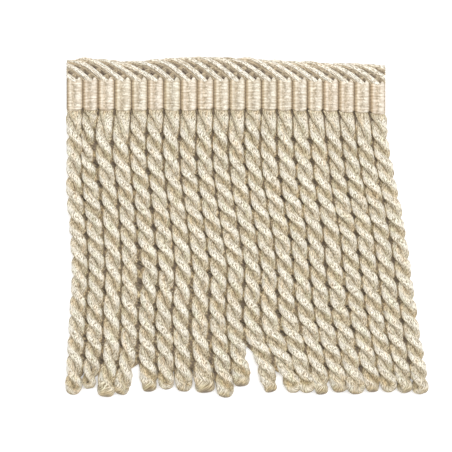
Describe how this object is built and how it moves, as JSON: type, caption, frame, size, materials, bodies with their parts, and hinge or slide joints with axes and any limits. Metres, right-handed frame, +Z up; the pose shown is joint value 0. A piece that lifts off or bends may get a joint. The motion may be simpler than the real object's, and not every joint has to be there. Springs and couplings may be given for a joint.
{
  "type": "bullion fringe trim",
  "caption": "Cut length of natural bullion fringe lying flat: ribbed woven heading, slanted yarn turns along its top edge, skirt of twisted strands with looped ends.",
  "frame": {"origin": "middle of the flat back of the heading, on the surface that the trim lies on", "axes": "+X along the trim, +Y from the skirt towards the yarn turns, +Z up out of the face"},
  "size_m": [0.1607, 0.1527, 0.0064],
  "materials": {
    "heading_yarn": "matt ribbed weave of undyed yarn",
    "turn_yarn": "soft undyed yarn turns with a slight sheen",
    "strand_yarn": "soft undyed twisted yarn with a slight sheen"
  },
  "bodies": {
    "root": {"heading": "heading_yarn", "yarn_turns": "turn_yarn", "skirt": "strand_yarn"}
  },
  "joints": []
}
